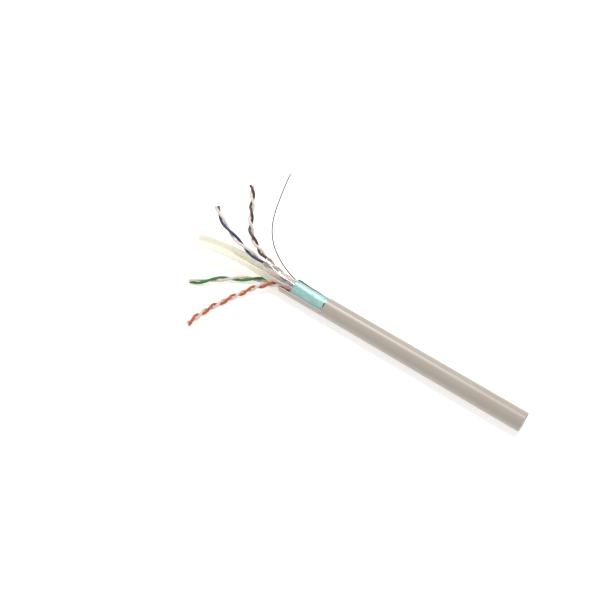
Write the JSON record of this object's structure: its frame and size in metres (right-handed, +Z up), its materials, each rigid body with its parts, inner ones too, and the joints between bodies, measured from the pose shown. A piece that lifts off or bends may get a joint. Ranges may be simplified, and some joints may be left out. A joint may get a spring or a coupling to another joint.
{
  "type": "prepared screened data cable end",
  "caption": "End of a screened four-pair data cable, jacket and foil cut back, with fanned twisted pairs, cross filler, clear film and drain wire.",
  "frame": {"origin": "on the cable's axis, at the shoulder where the jacket stops being a whole round tube", "axes": "+X along the jacketed cable to its square-cut far end, so the stripped end points along -X; +Z up from the table the cable lies on; +Y to the back"},
  "size_m": [0.1438, 0.0709, 0.021],
  "materials": {
    "jacket": "satin warm grey PVC, smooth from the extruder",
    "foil": "pale blue-green polyester face of an aluminium screening tape, glossy",
    "clear_film": "thin clear polyester film, glossy, slightly creased",
    "filler": "cream polyethylene, satin",
    "tinned_copper": "dull tin plating over copper",
    "blue_insulation": "satin dark blue polyethylene",
    "orange_insulation": "satin orange polyethylene",
    "green_insulation": "satin green polyethylene",
    "brown_insulation": "satin dark brown polyethylene",
    "white_insulation": "satin warm white polyethylene",
    "copper": "bare solid copper, cut square"
  },
  "bodies": {
    "root": {"outer_jacket": "jacket", "screen_foil": "foil", "clear_wrap": "clear_film", "cross_filler": "filler", "drain_wire": "tinned_copper", "insulation_blue": "blue_insulation", "insulation_blue_white": "white_insulation", "insulation_orange": "orange_insulation", "insulation_orange_white": "white_insulation", "insulation_green": "green_insulation", "insulation_green_white": "white_insulation", "insulation_brown": "brown_insulation", "insulation_brown_white": "white_insulation", "conductor_blue": "copper", "conductor_blue_white": "copper", "conductor_orange": "copper", "conductor_orange_white": "copper", "conductor_green": "copper", "conductor_green_white": "copper", "conductor_brown": "copper", "conductor_brown_white": "copper"}
  },
  "joints": []
}
